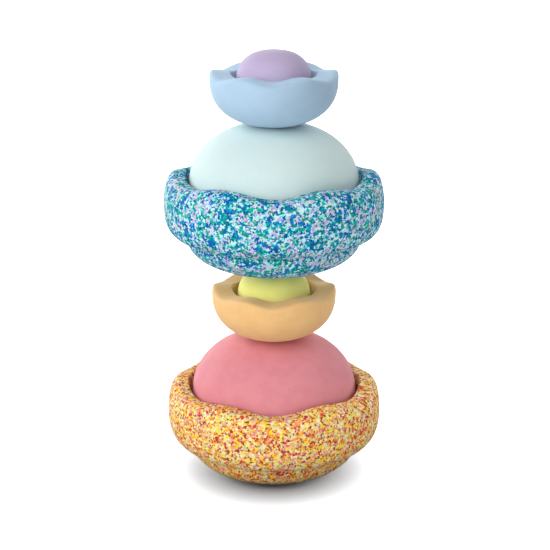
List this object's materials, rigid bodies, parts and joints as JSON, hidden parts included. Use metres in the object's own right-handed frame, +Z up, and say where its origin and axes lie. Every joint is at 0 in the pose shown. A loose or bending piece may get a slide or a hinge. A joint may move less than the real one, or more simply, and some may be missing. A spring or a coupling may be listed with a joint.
{
  "type": "stacking cup tower",
  "caption": "Tower of loose foam play stones: wavy-rimmed bowls, with turned over bowls standing in them as domes, that stack and nest.",
  "frame": {"origin": "centre of the flat under the lower large bowl, on the tower's axis", "axes": "+Z up along the tower's axis, -Y the front, where the rims of the upright bowls have a low point"},
  "size_m": [0.275, 0.275, 0.548],
  "materials": {
    "confetti_warm": "matte moulded bead foam, mixed coloured beads",
    "foam_pink": "matte moulded bead foam",
    "foam_orange": "matte moulded bead foam",
    "foam_yellow": "matte moulded bead foam",
    "confetti_cool": "matte moulded bead foam, mixed coloured beads",
    "foam_mint": "matte moulded bead foam",
    "foam_blue": "matte moulded bead foam",
    "foam_lilac": "matte moulded bead foam"
  },
  "bodies": {
    "warm_bowl": {"large_bowl_warm": "confetti_warm"},
    "pink_dome": {"dome_pink": "foam_pink"},
    "orange_bowl": {"small_bowl_orange": "foam_orange"},
    "yellow_pebble": {"pebble_yellow": "foam_yellow"},
    "cool_bowl": {"large_bowl_cool": "confetti_cool"},
    "mint_dome": {"dome_mint": "foam_mint"},
    "blue_bowl": {"small_bowl_blue": "foam_blue"},
    "lilac_pebble": {"pebble_lilac": "foam_lilac"}
  },
  "joints": [
    {"name": "pink_dome_lift", "type": "slide", "parent": "warm_bowl", "child": "pink_dome", "axis": [0, 0, 1], "range_m": [0, 0.08]},
    {"name": "orange_bowl_lift", "type": "slide", "parent": "pink_dome", "child": "orange_bowl", "axis": [0, 0, 1], "range_m": [0, 0.08]},
    {"name": "yellow_pebble_lift", "type": "slide", "parent": "orange_bowl", "child": "yellow_pebble", "axis": [0, 0, 1], "range_m": [0, 0.08]},
    {"name": "cool_bowl_lift", "type": "slide", "parent": "yellow_pebble", "child": "cool_bowl", "axis": [0, 0, 1], "range_m": [0, 0.08]},
    {"name": "mint_dome_lift", "type": "slide", "parent": "cool_bowl", "child": "mint_dome", "axis": [0, 0, 1], "range_m": [0, 0.08]},
    {"name": "blue_bowl_lift", "type": "slide", "parent": "mint_dome", "child": "blue_bowl", "axis": [0, 0, 1], "range_m": [0, 0.08]},
    {"name": "lilac_pebble_lift", "type": "slide", "parent": "blue_bowl", "child": "lilac_pebble", "axis": [0, 0, 1], "range_m": [0, 0.08]}
  ]
}
